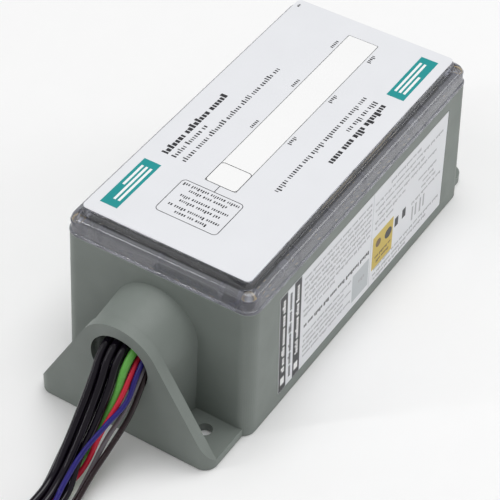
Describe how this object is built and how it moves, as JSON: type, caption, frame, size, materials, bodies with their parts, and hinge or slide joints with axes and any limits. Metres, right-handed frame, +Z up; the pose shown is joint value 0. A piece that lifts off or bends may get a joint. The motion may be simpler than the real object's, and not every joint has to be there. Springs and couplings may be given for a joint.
{
  "type": "surge protective device",
  "caption": "Hard-wired surge protective device: grey moulded base with a threaded conduit hub and feet, clear cover, top and side labels, and a bundle of loose leads.",
  "frame": {"origin": "middle of the mounting footprint, on the mounting face", "axes": "+Z up, away from the mounting face; +Y along the box, away from the conduit hub; +X to the side that carries the side label"},
  "size_m": [0.1275, 0.3858, 0.0781],
  "materials": {
    "housing": "fine satin moulding, grey with a slight green tint",
    "clear_plastic": "clear polycarbonate, glossy",
    "gasket": "black closed-cell rubber",
    "label": "printed film, pale grey with white, teal and dark grey print",
    "window_strip": "white translucent diffuser film",
    "side_label": "printed film, pale grey with dark grey print",
    "screw_steel": "zinc plated",
    "insert_brass": "knurled brass",
    "potting": "black epoxy",
    "circuit_board": "solder-masked laminate, olive",
    "varistor_coating": "dark epoxy coating",
    "lamp": "clear lens",
    "thermal_disconnect": "tan fibre sleeve",
    "capacitor_case": "amber moulded case",
    "relay_case": "black moulded case",
    "lead_black": "glossy black insulation",
    "lead_green": "glossy green insulation",
    "lead_red": "glossy red insulation",
    "lead_blue": "glossy blue insulation",
    "lead_grey": "glossy grey insulation",
    "lead_brown": "glossy dark brown insulation",
    "tie": "black nylon tie"
  },
  "bodies": {
    "root": {"base_housing": "housing", "cover_gasket": "gasket", "clear_cover": "clear_plastic", "top_label": "label", "indicator_window": "window_strip", "side_label": "side_label", "cover_screw_1": "screw_steel", "cover_screw_2": "screw_steel", "cover_screw_3": "screw_steel", "cover_screw_4": "screw_steel", "cover_insert_1": "insert_brass", "cover_insert_2": "insert_brass", "cover_insert_3": "insert_brass", "cover_insert_4": "insert_brass", "potting_compound": "potting", "main_circuit_board": "circuit_board", "board_screw_1": "screw_steel", "board_screw_2": "screw_steel", "board_screw_3": "screw_steel", "board_screw_4": "screw_steel", "varistor_1": "varistor_coating", "varistor_2": "varistor_coating", "varistor_3": "varistor_coating", "varistor_4": "varistor_coating", "varistor_5": "varistor_coating", "varistor_6": "varistor_coating", "varistor_7": "varistor_coating", "varistor_8": "varistor_coating", "status_lamp_1": "lamp", "status_lamp_2": "lamp", "status_lamp_3": "lamp", "status_lamp_4": "lamp", "thermal_disconnect_1": "thermal_disconnect", "thermal_disconnect_2": "thermal_disconnect", "thermal_disconnect_3": "thermal_disconnect", "thermal_disconnect_4": "thermal_disconnect", "filter_capacitor_1": "capacitor_case", "filter_capacitor_2": "capacitor_case", "alarm_relay": "relay_case", "alarm_sounder": "relay_case", "hub_seal": "potting", "lead_black_1": "lead_black", "lead_black_2": "lead_black", "lead_black_3": "lead_black", "lead_black_4": "lead_black", "lead_black_5": "lead_black", "lead_black_6": "lead_black", "lead_green": "lead_green", "lead_red": "lead_red", "lead_blue": "lead_blue", "lead_grey": "lead_grey", "lead_brown": "lead_brown", "lead_coil": "lead_black", "coil_tie": "tie"}
  },
  "joints": []
}
